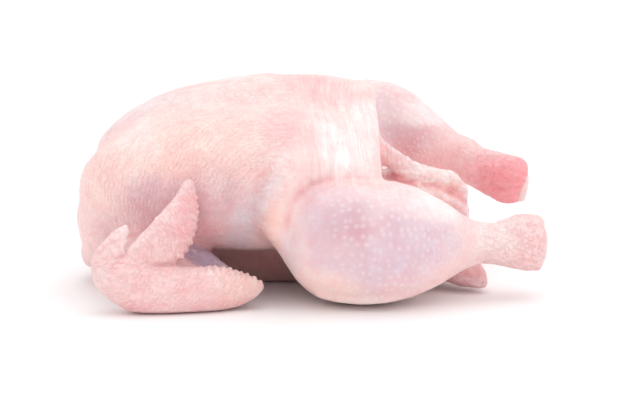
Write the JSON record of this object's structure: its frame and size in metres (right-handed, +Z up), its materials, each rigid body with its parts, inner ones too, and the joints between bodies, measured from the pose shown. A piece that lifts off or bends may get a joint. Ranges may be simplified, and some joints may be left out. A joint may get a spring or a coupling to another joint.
{
  "type": "whole raw chicken",
  "caption": "Plucked raw chicken lying on its back, breast up, legs stretched out and wings folded, with a hollow vent between the legs.",
  "frame": {"origin": "on the table under the middle of the bird's bounding box", "axes": "+X from the neck end to the drumsticks, +Z up out of the breast, -Y towards the lower side that lies on the table"},
  "size_m": [0.2753, 0.2235, 0.1237],
  "materials": {
    "chicken_skin": "satin, moist raw skin: pale pink with lilac and cream patches, deeper pink at the ankles and wing tips"
  },
  "bodies": {
    "root": {"chicken": "chicken_skin"}
  },
  "joints": []
}
